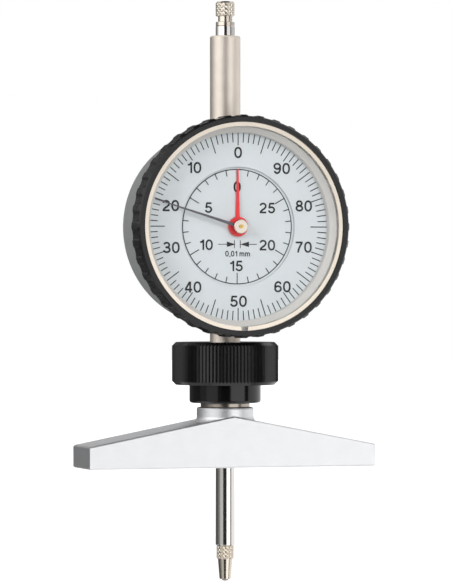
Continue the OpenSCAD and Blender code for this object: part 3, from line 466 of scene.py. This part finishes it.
# Each number with the place of its centre on the dial, in millimetres to the right and up.
OUTER_NUMBERS = (
    ("0", 0, 19.3), ("10", -11.9, 15.25), ("20", -18.35, 5.35), ("30", -18.2, -5.5), ("40", -12.3, -15.75),
    ("50", 0.1, -19.45), ("60", 12.2, -15.65), ("70", 18.1, -5.3), ("80", 18.1, 5.5), ("90", 12.0, 15.25),
)
COUNTER_NUMBERS = (
    ("0", 0, 10.36), ("5", -7.85, 4.9), ("10", -8.4, -4.75), ("15", -0.2, -10.25), ("20", 8.3, -4.8),
    ("25", 8.3, 4.9),
)
FIGURE_WIDTH = 1.1  # the figures are this much wider than their strokes are written


def band(points, width):
    """A flat band of one width along the points: the places of its corners, two to a point, and its faces."""
    points = [Vector(point) for point in points]
    closed = (points[0] - points[-1]).length < SAME_POINT
    if closed:
        points = points[:-1]
    count = len(points)
    corners = []
    for i, point in enumerate(points):
        before = points[i - 1] if closed or i else None
        after = points[(i + 1) % count] if closed or i < count - 1 else None
        normals = [(b - a).orthogonal().normalized() for a, b in ((before, point), (point, after)) if a and b]
        across = sum(normals, Vector((0, 0)))
        across = across * (len(normals) / across.length_squared) * width / 2
        corners += [point - across, point + across]
    faces = [(2 * i, 2 * i + 1, (2 * i + 3) % (2 * count), (2 * i + 2) % (2 * count))
             for i in range(count if closed else count - 1)]
    return corners, faces


def printed_text(words, height, x, z, face, weight=0.172, width=FIGURE_WIDTH):
    """Upright figures centred on a point of the dial, drawn with strokes of one width."""
    start = 0
    corners, faces = [], []
    for sign in words:
        for line in STROKES[sign]:
            places, quads = band([((start + px) * width, py) for px, py in line], weight)
            faces += [tuple(len(corners) + i for i in quad) for quad in quads]
            corners += [(place.x * height, 0, (place.y - 0.5) * height) for place in places]
        start += ADVANCE.get(sign, FIGURE_STEP)
    centre = (min(corner[0] for corner in corners) + max(corner[0] for corner in corners)) / 2
    corners = [(across - centre, y, up) for across, y, up in corners]
    mesh = bpy.data.meshes.new(words)
    mesh.from_pydata(corners, [], faces)
    text = bpy.data.objects.new(words, mesh)
    bpy.context.collection.objects.link(text)
    text.location = (DIAL.x + x, face, DIAL.z + z)
    return text


def scale_lines(count, outer, lengths, face, width):
    """A scale's lines, counter-clockwise from the top; lengths holds pairs of every how many and how long."""
    return [printed_line(outer, next(length for every, length in lengths if i % every == 0),
                         -math.tau * i / count, face, width) for i in range(count)]


def print_piece(marks, name, body, ink):
    """Joins flat printing into one piece and gives it its thickness, towards the viewer."""
    piece = join(marks)
    bpy.ops.object.transform_apply(location=True, rotation=True, scale=True)
    edit(piece)
    bpy.ops.mesh.extrude_region_move(TRANSFORM_OT_translate={"value": (0, -ink, 0)})
    settle(piece, name, body, "dial_enamel", "ink")


def turned_piece(stations, sides=64, hollow=False):
    """A turned form on the Z axis, drawn out ring by ring from (radius, height) stations.

    A hollow one has no face across its first station, so its last station closes it there.
    """
    radius, height = stations[0]
    deselect()
    bpy.ops.mesh.primitive_circle_add(vertices=sides, radius=radius, location=(0, 0, height),
                                      fill_type="NOTHING" if hollow else "NGON")
    piece = bpy.context.object
    edit(piece)
    for next_radius, next_height in stations[1:]:
        bpy.ops.mesh.extrude_region_move(TRANSFORM_OT_translate={"value": (0, 0, next_height - height)})
        bpy.ops.transform.resize(value=(next_radius / radius, next_radius / radius, 1))
        radius, height = next_radius, next_height
    bpy.ops.object.mode_set(mode="OBJECT")
    return piece


def knurled_sleeve(radius, low, high, cells, depth):
    """A sleeve of raised diamonds: a net of squares, its diagonals kept, each diamond drawn out to a point.

    A real knurl this size has some twenty diamonds round it, too fine to show, so these are drawn coarser.
    """
    rows = max(3, round((high - low) / (2 * math.pi * radius / cells)))
    step = (high - low) / rows
    deselect()
    bpy.ops.mesh.primitive_cylinder_add(vertices=cells, radius=radius - depth, depth=step,
                                        end_fill_type="NOTHING", location=(0, 0, low + step / 2))
    sleeve = bpy.context.object
    bpy.ops.object.transform_apply(location=True)
    stack = sleeve.modifiers.new("rows", "ARRAY")
    stack.count = rows
    stack.use_relative_offset = False
    stack.use_constant_offset = True
    stack.constant_offset_displace = (0, 0, step)
    stack.use_merge_vertices = True
    stack.merge_threshold = TINY
    apply_modifiers(sleeve)
    edit(sleeve, "FACE")
    bpy.ops.mesh.poke(offset=0)

    def net_edge(edge):
        a, b = (sleeve.data.vertices[i].co for i in edge.vertices)
        upright = (a - b).xy.length < TINY
        level = abs(a.z - b.z) < TINY
        inside = low + TINY < a.z < high - TINY
        return upright or (level and inside)

    choose_edges(sleeve, net_edge)
    bpy.ops.mesh.dissolve_edges(use_verts=False)
    edit(sleeve, "FACE")
    bpy.ops.mesh.poke(offset=depth)
    edit(sleeve)
    bpy.ops.mesh.fill_holes(sides=0)
    bpy.ops.object.mode_set(mode="OBJECT")
    return sleeve


def knurled_piece(stations, radius, low, high, knurl, name, node):
    """A turned nickel silver piece on the spindle with a knurled sleeve from low to high, for its CAD node."""
    sizes = bpy.context.scene.gauge_sizes
    body = turned_piece(stations)
    sleeve = knurled_sleeve(radius, low, high, sizes.knurl_cells, sizes.knurl_depth)
    wear(body, "warm_nickel")
    wear(sleeve, knurl)
    settle(join([body, sleeve]), name, "spindle", "warm_nickel", stands_for=[node], smooth=20)


def wound_wire(places, wire_radius):
    """A round wire along these places."""
    curve = bpy.data.curves.new("wire", "CURVE")
    curve.dimensions = "3D"
    curve.bevel_depth = wire_radius
    curve.bevel_resolution = 3
    curve.use_fill_caps = True
    line = curve.splines.new("POLY")
    line.points.add(len(places) - 1)
    for point, place in zip(line.points, places):
        point.co = (*place, 1)
    wire = bpy.data.objects.new("wire", curve)
    bpy.context.collection.objects.link(wire)
    pick([wire])
    bpy.ops.object.convert(target="MESH")
    return bpy.context.object


# ---- Pieces ----


class GAUGE_OT_finishes(bpy.types.Operator):
    """Gives every CAD node its finish"""

    bl_idname = "gauge.finishes"
    bl_label = "Finishes"

    def execute(self, context):
        FINISHES.update(make_finishes(context.scene.gauge_colours))
        slots = {part["node"]: part["material_slot"] for part in frame["record"]["subparts"]}
        for name, node in frame["nodes"].items():
            wear(node, OTHER_FINISHES.get(name, slots[name]))
        return {"FINISHED"}


class GAUGE_OT_outer_scale(bpy.types.Operator):
    """Prints the outer dial: a hundred divisions, numbered counter-clockwise"""

    bl_idname = "gauge.outer_scale"
    bl_label = "Outer scale"

    def execute(self, context):
        sizes = context.scene.gauge_sizes
        lengths = (10, 3.3 * MM), (5, 4.5 * MM), (1, 2.5 * MM)
        deselect()
        lines = scale_lines(100, sizes.scale_radius, lengths, RING_FACE, sizes.line)
        print_piece(lines, "outer_lines", "bezel", sizes.ink)
        numbers = [printed_text(word, sizes.outer_height, x * MM, z * MM, RING_FACE)
                   for word, x, z in OUTER_NUMBERS]
        print_piece(numbers, "outer_numbers", "bezel", sizes.ink)
        return {"FINISHED"}


class GAUGE_OT_counter_scale(bpy.types.Operator):
    """Prints the counter dial: its circle, thirty divisions, numbers and the unit mark"""

    bl_idname = "gauge.counter_scale"
    bl_label = "Counter scale"

    def execute(self, context):
        sizes = context.scene.gauge_sizes
        circle_radius = 15.05 * MM
        lengths = (5, 3.0 * MM), (1, 1.7 * MM)
        mark_height = DIAL.z - 4.6 * MM
        deselect()
        bpy.ops.mesh.primitive_circle_add(vertices=180, radius=circle_radius, rotation=FRONT,
                                          location=(DIAL.x, DISC_FACE, DIAL.z))
        circle = bpy.context.object
        edit(circle)
        bpy.ops.mesh.extrude_edges_move(TRANSFORM_OT_translate={"value": (0, 0, 0)})
        inner = (circle_radius - sizes.line) / circle_radius
        bpy.ops.transform.resize(value=(inner, inner, inner))
        bpy.ops.object.mode_set(mode="OBJECT")
        lines = [circle, *scale_lines(30, circle_radius, lengths, DISC_FACE, sizes.line)]
        # The mark of one division: two upright lines, and from either side a bar with an arrow head.
        for x, width, height in ((-0.75, 0.2, 2.05), (0.85, 0.2, 2.05), (-4.0, 2.4, 0.18), (4.35, 2.1, 0.18)):
            bpy.ops.mesh.primitive_plane_add(size=1, rotation=FRONT,
                                             location=(DIAL.x + x * MM, DISC_FACE, mark_height))
            bar = bpy.context.object
            bar.scale = (width * MM, height * MM, 1)
            lines.append(bar)
        for x, turn in ((-2.02, math.pi / 2), (2.45, 3 * math.pi / 2)):
            bpy.ops.mesh.primitive_circle_add(vertices=3, radius=1, fill_type="NGON",
                                              rotation=(math.pi / 2, turn, 0),
                                              location=(DIAL.x + x * MM, DISC_FACE, mark_height))
            head = bpy.context.object
            head.scale = (0.82 * MM, 1.6 * MM, 1)
            lines.append(head)
        print_piece(lines, "counter_lines", "head", sizes.ink)
        numbers = [printed_text(word, sizes.counter_height, x * MM, z * MM, DISC_FACE)
                   for word, x, z in COUNTER_NUMBERS]
        numbers.append(printed_text("0,01 mm", 1.42 * MM, 0.12 * MM, -7.05 * MM, DISC_FACE, weight=0.185,
                                    width=0.95))
        print_piece(numbers, "counter_numbers", "head", sizes.ink)
        return {"FINISHED"}


class GAUGE_OT_bezel(bpy.types.Operator):
    """Turns the bezel and cuts its scallops, which run out in the cone in front of them"""

    bl_idname = "gauge.bezel"
    bl_label = "Bezel"

    def execute(self, context):
        def span(node):
            """A node's outer radius, and how far forward its back and its front lie."""
            low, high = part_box(node)
            return high.x, -high.y, -low.y

        depth = context.scene.gauge_sizes.scallop_depth
        fit = 0.05 * MM
        chamfer = 0.25 * MM
        cone_width, cone_depth = 0.7 * MM, 0.9 * MM
        outer, back, front = span("bezel")
        crystal_radius, crystal_back, _ = span("crystal")
        seat, ledge = crystal_radius + fit, crystal_back - 0.5 * MM
        case_radius, _, case_front = span("case")
        bore, rim = case_radius + fit, case_front + 0.2 * MM
        lip = span("dial_ring")[0] + 0.2 * MM
        wire_radius, groove_back, groove_front = span("bezel_wire")
        groove = wire_radius + 0.02 * MM
        points = 12  # of the outline to each scallop
        bezel = turned_piece([
            (bore, back), (outer - chamfer, back), (outer, back + chamfer), (outer, front - cone_depth),
            (outer - depth, front - cone_depth * (1 - depth / cone_width)), (outer - cone_width, front),
            (seat, front), (seat, ledge), (bore - fit, ledge), (lip, rim + 0.15 * MM), (lip, rim), (bore, rim),
            (bore, groove_front), (groove, groove_front), (groove, groove_back), (bore, groove_back),
            (bore, back),
        ], points * SCALLOPS, hollow=True)
        # Each scallop has a short steep wall at either side and a shallow hollow between them.
        pitch = 360 / SCALLOPS
        half_width = 1 / 3  # of a scallop, as a share of the pitch
        for vertex in bezel.data.vertices:
            off_middle = abs(math.degrees(math.atan2(vertex.co.y, vertex.co.x)) % pitch - pitch / 2) / pitch
            wall = max(0, min(1, (half_width - off_middle) * points))
            bottom = outer - depth * wall * (1 - 4 * off_middle ** 2)
            if vertex.co.xy.length > bottom:
                vertex.co.xy *= bottom / vertex.co.xy.length
        bezel.rotation_euler = FRONT
        bezel.location = (middle("bezel").x, -back, middle("bezel").z)
        settle(bezel, "bezel_scalloped", "bezel", "black_bezel_plastic", stands_for=["bezel"], smooth=25)
        return {"FINISHED"}


class GAUGE_OT_lifting_cap(bpy.types.Operator):
    """Models the lifting cap with its diamond knurl"""

    bl_idname = "gauge.lifting_cap"
    bl_label = "Lifting cap"

    def execute(self, context):
        low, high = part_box("lifting_cap")
        radius = radius_of("lifting_cap")
        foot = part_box("spindle")[1].z
        grip_low = high.z - 3.9 * MM
        collar_top = grip_low - 1.5 * MM
        grip_top = high.z - 0.4 * MM
        shank, neck, collar, edge = 1.2 * MM, 1.85 * MM, 2.45 * MM, 0.1 * MM
        groove = radius - context.scene.gauge_sizes.knurl_depth - SLEEVE_GAP
        knurled_piece([
            (shank, low.z), (shank, foot), (collar - edge, foot), (collar, foot + edge),
            (collar, collar_top - edge), (collar - edge, collar_top), (neck, collar_top), (neck, grip_low),
            (groove - CHAMFER, grip_low), (groove, grip_low + CHAMFER), (groove, grip_top),
            (groove - 0.3 * MM, high.z - 0.08 * MM), (groove - 0.45 * MM, high.z),
        ], radius, grip_low + 0.15 * MM, grip_top, "cap_knurl", "lifting_cap_knurled", "lifting_cap")
        return {"FINISHED"}


class GAUGE_OT_contact_point(bpy.types.Operator):
    """Models the contact point with its diamond knurl and taper"""

    bl_idname = "gauge.contact_point"
    bl_label = "Contact point"

    def execute(self, context):
        low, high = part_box("contact_point")
        radius = radius_of("contact_point")
        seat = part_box("spindle")[0].z
        grip_low = seat - 3.6 * MM
        tip, taper, shank, margin = 1.475 * MM, 1.9 * MM, 1.2 * MM, 0.2 * MM
        groove = radius - context.scene.gauge_sizes.knurl_depth - SLEEVE_GAP
        knurled_piece([
            (tip, low.z), (taper, grip_low), (groove - CHAMFER, grip_low), (groove, grip_low + CHAMFER),
            (groove, seat - CHAMFER), (groove - CHAMFER, seat), (shank, seat), (shank, high.z),
        ], radius, grip_low + margin, seat - margin, "point_knurl", "contact_point_knurled", "contact_point")
        return {"FINISHED"}


class GAUGE_OT_return_spring(bpy.types.Operator):
    """Winds the spring that draws the spindle down, with a hooked end at each pin"""

    bl_idname = "gauge.return_spring"
    bl_label = "Return spring"

    def execute(self, context):
        low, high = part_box("return_spring")
        axis = middle("return_spring")
        wire_radius = 0.15 * MM
        coil_radius = radius_of("return_spring") - wire_radius
        end, tail = 0.35 * MM, 0.9 * MM
        turns, steps = 8, 32
        places = [(axis.x, axis.y, low.z), (axis.x, axis.y, low.z + end)]
        for i in range(turns * steps + 1):
            angle = math.tau * i / steps
            places.append((axis.x + coil_radius * math.cos(angle), axis.y + coil_radius * math.sin(angle),
                           low.z + tail + (high.z - low.z - 2 * tail) * i / (turns * steps)))
        places += [(axis.x, axis.y, high.z - end), (axis.x, axis.y, high.z)]
        settle(wound_wire(places, wire_radius), "return_spring_wound", "head", "spring_steel",
               stands_for=["return_spring"], smooth=40)
        return {"FINISHED"}


class GAUGE_OT_hairspring(bpy.types.Operator):
    """Winds the flat blued spiral from its collet out to its stud"""

    bl_idname = "gauge.hairspring"
    bl_label = "Hairspring"

    def execute(self, context):
        low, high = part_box("hairspring")
        collet = middle("hairspring_collet")
        stud = middle("hairspring_stud")
        gap = 0.05 * MM
        inner = radius_of("hairspring_collet") + gap
        outer = math.hypot(stud.x - collet.x, stud.z - collet.z) - radius_of("hairspring_stud") - gap
        start = math.atan2(stud.z - collet.z, stud.x - collet.x)
        turns, steps = 5, 60
        places, faces = [], []
        for i in range(turns * steps + 1):
            angle = start + math.tau * i / steps
            radius = inner + (outer - inner) * i / (turns * steps)
            for y in (low.y, high.y):
                places.append((collet.x + radius * math.cos(angle), y, collet.z + radius * math.sin(angle)))
            if i:
                faces.append((2 * i - 2, 2 * i - 1, 2 * i + 1, 2 * i))
        mesh = bpy.data.meshes.new("spiral")
        mesh.from_pydata(places, [], faces)
        strip = bpy.data.objects.new("spiral", mesh)
        context.collection.objects.link(strip)
        thick = strip.modifiers.new("thickness", "SOLIDIFY")
        thick.thickness = 0.1 * MM
        thick.offset = 0
        apply_modifiers(strip)
        settle(strip, "hairspring_wound", "head", "blued_spring", stands_for=["hairspring"], smooth=40)
        return {"FINISHED"}


# ---- Studio ----

FOOT, BELT, TOP = -1.2, 0.1, 1.6  # heights in metres at which the studio's round wall changes

# The wall's panels: each one's start and end in degrees from the front towards the right, its lower and upper
# edge, and its glow at either edge. The last one is a ring below the gauge, and its distance is its own.
WALL = (
    ("dark_behind_camera", -42, 0, FOOT, BELT, 0.03, 0.03),
    ("dark_behind_camera_high", -30, 4, BELT, TOP, 0.03, 0.03),
    ("right_box_low", 0, 48, FOOT, BELT, 1.42, 1.42),
    ("right_box_high", 4, 48, BELT, TOP, 0.95, 0.95),
    ("right_edge", 48, 62, FOOT, TOP, 0.05, 0.05),
    ("right_wall", 62, 120, BELT, TOP, 0.6, 0.6),
    ("left_box", -105, -30, BELT, TOP, 1.6, 1.6),
    ("left_below_box", -80, -42, FOOT, BELT, 0.58, 0.58),
    ("grey_left_low", -105, -80, FOOT, BELT, 0.28, 0.28),
    ("dark_left", -198, -105, FOOT, BELT, 0.09, 0.11),
    ("grey_left", -130, -105, BELT, TOP, 0.6, 0.6),
    ("dark_left_high", -180, -130, BELT, TOP, 0.22, 0.22),
    ("dark_behind", -230, -180, 0.05, 1.0, 0.1, 0.1),
    ("dark_below", -180, 180, -1.9, FOOT, 0.02, 0.1, 1.2),
)


def softbox(name, place, target, size, power):
    """A rectangular lamp aimed at a point; its panel on the studio's wall is what metal reflects."""
    bpy.ops.object.light_add(type="AREA", location=place)
    lamp = bpy.context.object
    lamp.name = name
    lamp.data.shape = "RECTANGLE"
    lamp.data.size, lamp.data.size_y = size
    lamp.data.energy = power
    lamp.visible_glossy = False
    lamp.rotation_euler = (target - lamp.location).to_track_quat("-Z", "Y").to_euler()


def hang(panel, material):
    """Puts a glowing panel in the studio, seen in reflections only."""
    panel.visible_camera = panel.visible_shadow = panel.visible_diffuse = False
    panel.data.materials.append(material)


def wall_panel(name, start, end, low, high, low_glow, high_glow, reach=2.0):
    """A panel of the studio's round wall, this far from the gauge, with a glow that changes up its height."""
    steps = max(2, round((end - start) / 4))
    places, faces = [], []
    for i in range(steps + 1):
        angle = math.radians(start + (end - start) * i / steps)
        places += [(reach * math.sin(angle), -reach * math.cos(angle), z) for z in (low, high)]
        if i:
            faces.append((2 * i - 2, 2 * i, 2 * i + 1, 2 * i - 1))
    mesh = bpy.data.meshes.new(name)
    mesh.from_pydata(places, [], faces)
    panel = bpy.data.objects.new(name, mesh)
    bpy.context.collection.objects.link(panel)
    material, tree = new_material(name)
    height = add_node(tree, "ShaderNodeSeparateXYZ", links={"Vector": position(tree)}).outputs["Z"]
    strength = add_node(tree, "ShaderNodeMapRange",
                        {"From Min": low, "From Max": high, "To Min": low_glow, "To Max": high_glow},
                        {"Value": height})
    glow = add_node(tree, "ShaderNodeEmission", {"Color": WHITE}, {"Strength": strength.outputs[0]})
    add_node(tree, "ShaderNodeOutputMaterial", links={"Surface": glow.outputs[0]})
    hang(panel, material)


def flag(name, place, size, strength):
    """A level board above the gauge, which darkens the rounded upper edges."""
    bpy.ops.mesh.primitive_plane_add(size=size, location=place)
    board = bpy.context.object
    board.name = name
    material, tree = new_material(name)
    glow = add_node(tree, "ShaderNodeEmission", {"Color": WHITE, "Strength": strength})
    add_node(tree, "ShaderNodeOutputMaterial", links={"Surface": glow.outputs[0]})
    hang(board, material)


def seen_directly(tree):
    """1 for rays from the camera, from gloss and through glass, otherwise 0."""
    path = add_node(tree, "ShaderNodeLightPath").outputs
    either = add_node(tree, "ShaderNodeMath", {"operation": "MAXIMUM"},
                      {0: path["Is Camera Ray"], 1: path["Is Glossy Ray"]})
    return add_node(tree, "ShaderNodeMath", {"operation": "MAXIMUM"},
                    {0: either.outputs[0], 1: path["Is Transmission Ray"]}).outputs[0]


def place_camera(scene):
    """Looks level at the gauge from 1 metre away, 18 degrees to its left, through a long lens."""
    bpy.ops.object.camera_add(location=(-0.309, -0.950, 0.0465), rotation=(math.pi / 2, 0, math.radians(-18)))
    camera = bpy.context.object
    camera.name = "photo_view"
    camera.data.lens = 234
    camera.data.sensor_fit = "AUTO"
    camera.data.shift_x = 0.0035
    camera.data.shift_y = -0.0035
    camera.data.clip_start = 0.05
    camera.data.dof.use_dof = False
    scene.camera = camera


def lay_floor(height):
    """White paper that keeps the gauge's shadow and is lit up to white away from it."""
    bpy.ops.mesh.primitive_plane_add(size=6, location=(0, 0, height))
    floor = bpy.context.object
    floor.name = "floor"
    floor.visible_glossy = False
    material, tree = new_material("white paper")
    paper = add_node(tree, "ShaderNodeBsdfDiffuse", {"Color": (0.8, 0.8, 0.8, 1)})
    away = add_node(tree, "ShaderNodeVectorMath", {"operation": "LENGTH"}, {0: position(tree)})
    brighter = add_node(tree, "ShaderNodeMapRange",
                        {"From Min": 0.1, "From Max": 0.7, "To Min": 0.58, "To Max": 1.0},
                        {"Value": away.outputs["Value"]})
    lift = add_node(tree, "ShaderNodeMath", {"operation": "MULTIPLY"},
                    {0: seen_directly(tree), 1: brighter.outputs[0]})
    glow = add_node(tree, "ShaderNodeEmission", {"Color": WHITE}, {"Strength": lift.outputs[0]})
    both = add_node(tree, "ShaderNodeAddShader", links={0: paper.outputs[0], 1: glow.outputs[0]})
    add_node(tree, "ShaderNodeOutputMaterial", links={"Surface": both.outputs[0]})
    floor.data.materials.append(material)


def light_world(scene):
    """White where it is seen or reflected, and a softer fill on everything else."""
    world = bpy.data.worlds.new("white studio")
    scene.world = world
    world.use_nodes = True
    tree = world.node_tree
    tree.nodes.clear()
    fill = add_node(tree, "ShaderNodeBackground", {"Color": WHITE, "Strength": 0.42})
    white = add_node(tree, "ShaderNodeBackground", {"Color": WHITE, "Strength": 1.0})
    mix = add_node(tree, "ShaderNodeMixShader",
                   links={0: seen_directly(tree), 1: fill.outputs[0], 2: white.outputs[0]})
    add_node(tree, "ShaderNodeOutputWorld", links={"Surface": mix.outputs[0]})


class GAUGE_OT_studio(bpy.types.Operator):
    """Sets the camera, lamps, wall panels, floor and white background"""

    bl_idname = "gauge.studio"
    bl_label = "Studio"

    def execute(self, context):
        scene = context.scene
        low, high = Vector(CAD_BOX[0]), Vector(CAD_BOX[1])
        centre = (low + high) / 2
        scene.view_settings.view_transform = "Standard"
        deselect()
        place_camera(scene)
        lay_floor(low.z)
        light_world(scene)
        softbox("right_lamp", (0.12, -1.1, 0.3), centre, (0.7, 0.7), 7)
        softbox("left_lamp", (-0.9, -0.6, 0.4), centre, (0.4, 0.6), 4.5)
        for panel in WALL:
            wall_panel(*panel)
        flag("dark_above", (0, 0, 0.9), 0.9, 0.03)
        return {"FINISHED"}


STEPS = (
    GAUGE_OT_finishes, GAUGE_OT_outer_scale, GAUGE_OT_counter_scale, GAUGE_OT_bezel, GAUGE_OT_lifting_cap,
    GAUGE_OT_contact_point, GAUGE_OT_return_spring, GAUGE_OT_hairspring, GAUGE_OT_studio,
)


class GAUGE_PT_panel(bpy.types.Panel):
    """Lists the steps that dress the gauge"""

    bl_idname = "GAUGE_PT_panel"
    bl_label = "Depth Gauge"
    bl_space_type = "VIEW_3D"
    bl_region_type = "UI"
    bl_category = "Depth Gauge"

    def draw(self, context):
        for settings in (context.scene.gauge_sizes, context.scene.gauge_colours):
            box = self.layout.box()
            for name in settings.__annotations__:
                box.prop(settings, name)
        for step in STEPS:
            self.layout.operator(step.bl_idname)


CLASSES = (GaugeSizes, GaugeColours, *STEPS, GAUGE_PT_panel)


def register():
    for item in CLASSES:
        bpy.utils.register_class(item)
    bpy.types.Scene.gauge_sizes = PointerProperty(type=GaugeSizes)
    bpy.types.Scene.gauge_colours = PointerProperty(type=GaugeColours)


def unregister():
    del bpy.types.Scene.gauge_colours
    del bpy.types.Scene.gauge_sizes
    for item in reversed(CLASSES):
        bpy.utils.unregister_class(item)


def main():
    register()
    bpy.ops.gauge.finishes()
    bpy.ops.gauge.outer_scale()
    bpy.ops.gauge.counter_scale()
    bpy.ops.gauge.bezel()
    bpy.ops.gauge.lifting_cap()
    bpy.ops.gauge.contact_point()
    bpy.ops.gauge.return_spring()
    bpy.ops.gauge.hairspring()
    bpy.ops.gauge.studio()


if __name__ == "__main__":
    main()
